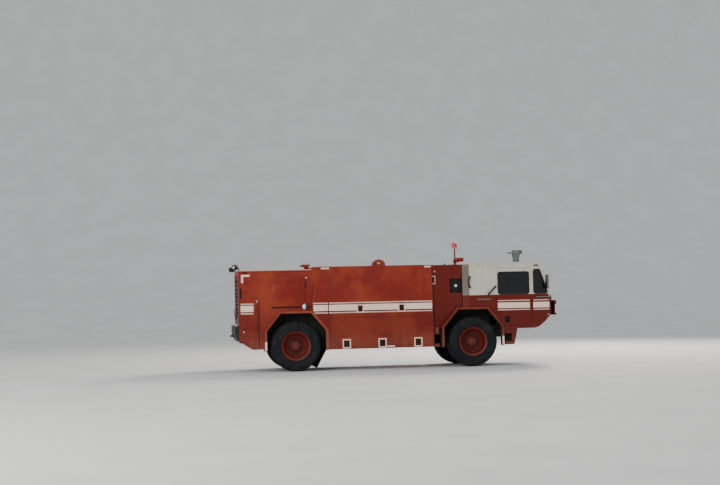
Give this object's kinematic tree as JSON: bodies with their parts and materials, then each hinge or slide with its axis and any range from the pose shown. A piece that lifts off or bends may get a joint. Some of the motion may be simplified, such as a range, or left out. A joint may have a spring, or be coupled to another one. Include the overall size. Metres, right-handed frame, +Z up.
{
  "type": "airport fire truck",
  "caption": "Two-axle airport crash tender with a rear engine, a middle water tank, a forward cab with swinging doors and a roof water turret.",
  "frame": {"origin": "centre of the bounding box at ground level", "axes": "+X forward, +Y the vehicle's left side, +Z up"},
  "size_m": [8.8498, 2.84, 3.373],
  "materials": {
    "body_red": "faded matt paint",
    "door_red": "faded matt paint",
    "wheel_red": "dusty matt paint",
    "cab_white": "aged cream paint",
    "frame_steel": "dusty chassis paint",
    "engine_iron": "oily",
    "door_dark": "faded matt paint",
    "tyre_black": "dusty",
    "cab_glass": "clear",
    "cab_trim": "worn",
    "seat_cloth": "woven",
    "lamp_clear": "clear lens",
    "lamp_red": "faded lens",
    "bumper_dark": "scuffed",
    "mirror_grey": "dull",
    "rail_red": "worn",
    "turret_pale": "weathered"
  },
  "bodies": {
    "vehicle": {"chassis_frame": "frame_steel", "engine": "engine_iron", "drivetrain": "frame_steel", "rear_axle": "frame_steel", "front_axle": "frame_steel", "rear_body": "body_red", "tank_body": "body_red", "pump_bay": "body_red", "rear_arches": "body_red", "front_arches": "body_red", "cab_lower": "body_red", "cab_upper": "cab_white", "cab_glass": "cab_glass", "dashboard": "cab_trim", "steering_wheel": "cab_trim", "seats": "seat_cloth", "front_bumper": "body_red", "headlamps": "lamp_clear", "rear_bumper": "bumper_dark", "tail_lamps": "lamp_red", "cab_steps": "bumper_dark", "mirrors": "mirror_grey", "grab_rails": "rail_red", "roof_drum": "body_red", "roof_fittings": "body_red", "beacon": "lamp_red", "floodlights": "bumper_dark", "turret_base": "turret_pale"},
    "knuckle_left": {"knuckle_left": "frame_steel"},
    "knuckle_right": {"knuckle_right": "frame_steel"},
    "front_left_wheel": {"wheel_front_left": "wheel_red", "tyre_front_left": "tyre_black"},
    "front_right_wheel": {"wheel_front_right": "wheel_red", "tyre_front_right": "tyre_black"},
    "rear_left_wheel": {"wheel_rear_left": "wheel_red", "tyre_rear_left": "tyre_black"},
    "rear_right_wheel": {"wheel_rear_right": "wheel_red", "tyre_rear_right": "tyre_black"},
    "left_door": {"door_left": "door_red", "door_glass_left": "cab_glass"},
    "right_door": {"door_right": "door_red", "door_glass_right": "cab_glass"},
    "engine_lid": {"engine_door": "door_dark"},
    "turret_mount": {"turret_head": "turret_pale"},
    "turret_barrel": {"turret_nozzle": "turret_pale"}
  },
  "joints": [
    {"name": "steer_left", "type": "hinge", "parent": "vehicle", "child": "knuckle_left", "pos_m": [2.065, 0.8, 0.675], "axis": [0, 0, 1], "range_deg": [-30, 30]},
    {"name": "steer_right", "type": "hinge", "parent": "vehicle", "child": "knuckle_right", "pos_m": [2.065, -0.8, 0.675], "axis": [0, 0, 1], "range_deg": [-30, 30]},
    {"name": "roll_front_left", "type": "hinge", "parent": "knuckle_left", "child": "front_left_wheel", "pos_m": [2.065, 0.975, 0.675], "axis": [0, 1, 0], "continuous": true},
    {"name": "roll_front_right", "type": "hinge", "parent": "knuckle_right", "child": "front_right_wheel", "pos_m": [2.065, -0.975, 0.675], "axis": [0, 1, 0], "continuous": true},
    {"name": "roll_rear_left", "type": "hinge", "parent": "vehicle", "child": "rear_left_wheel", "pos_m": [-2.735, 0.975, 0.675], "axis": [0, 1, 0], "continuous": true},
    {"name": "roll_rear_right", "type": "hinge", "parent": "vehicle", "child": "rear_right_wheel", "pos_m": [-2.735, -0.975, 0.675], "axis": [0, 1, 0], "continuous": true},
    {"name": "open_left_door", "type": "hinge", "parent": "vehicle", "child": "left_door", "pos_m": [3.718, 1.214, 1.78], "axis": [0, 0, -1], "range_deg": [0, 75]},
    {"name": "open_right_door", "type": "hinge", "parent": "vehicle", "child": "right_door", "pos_m": [3.718, -1.214, 1.78], "axis": [0, 0, 1], "range_deg": [0, 75]},
    {"name": "lift_engine_lid", "type": "hinge", "parent": "vehicle", "child": "engine_lid", "pos_m": [-4.249, 0, 2.558], "axis": [0, 1, 0], "range_deg": [0, 85]},
    {"name": "turn_turret", "type": "hinge", "parent": "vehicle", "child": "turret_mount", "pos_m": [3.62, 0, 2.9], "axis": [0, 0, 1], "range_deg": [-110, 110]},
    {"name": "raise_nozzle", "type": "hinge", "parent": "turret_mount", "child": "turret_barrel", "pos_m": [3.62, 0, 3.115], "axis": [0, -1, 0], "range_deg": [-15, 60]}
  ],
  "couplings": [
    {"joint": "steer_right", "follows": "steer_left", "ratio": 1}
  ]
}
